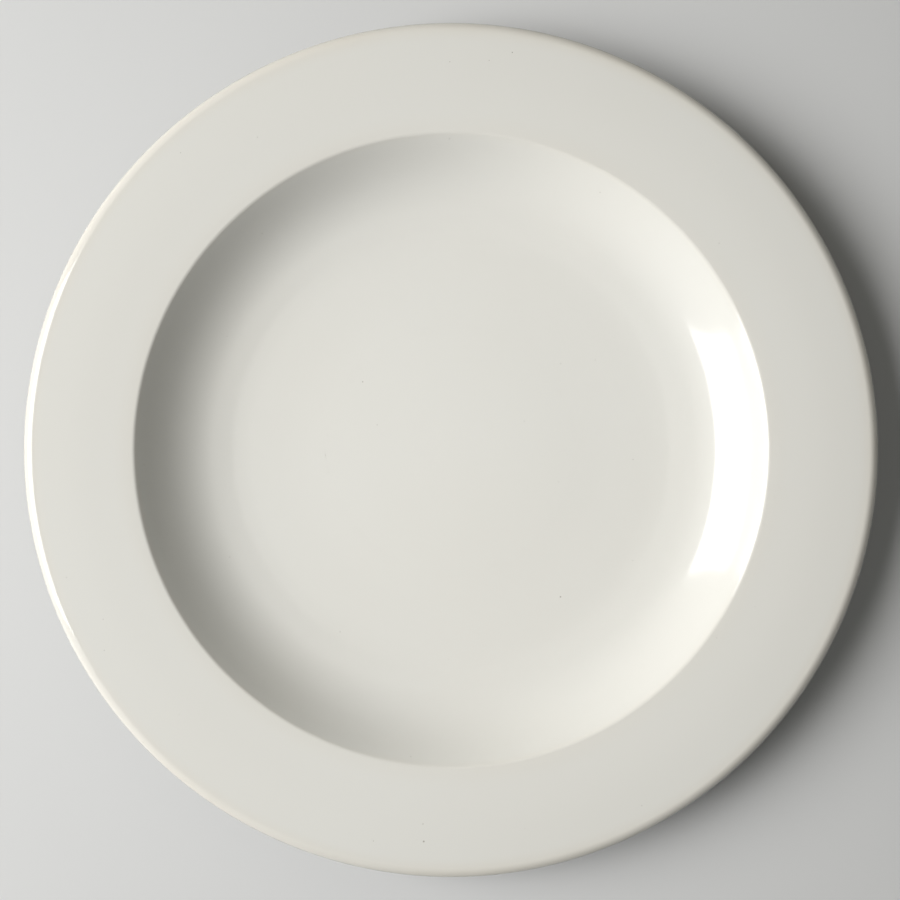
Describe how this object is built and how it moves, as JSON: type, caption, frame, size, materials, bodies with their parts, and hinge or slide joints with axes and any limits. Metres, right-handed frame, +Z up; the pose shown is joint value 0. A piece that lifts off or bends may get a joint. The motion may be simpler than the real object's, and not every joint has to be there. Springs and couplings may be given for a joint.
{
  "type": "chop plate",
  "caption": "Large round serving plate in plain white glazed ceramic, with a wide rim, a crisp lip, a dished well and a bare standing edge on its foot ring.",
  "frame": {"origin": "centre of the foot ring, in the plane that the plate stands on", "axes": "+Z up along the plate's axis, out of the well; the plate is turned about Z, so X and Y are free"},
  "size_m": [0.32, 0.32, 0.0273],
  "materials": {
    "fired_clay": "matte",
    "white_glaze": "gloss"
  },
  "bodies": {
    "root": {"clay_body": "fired_clay", "face_glaze": "white_glaze", "base_glaze": "white_glaze"}
  },
  "joints": []
}
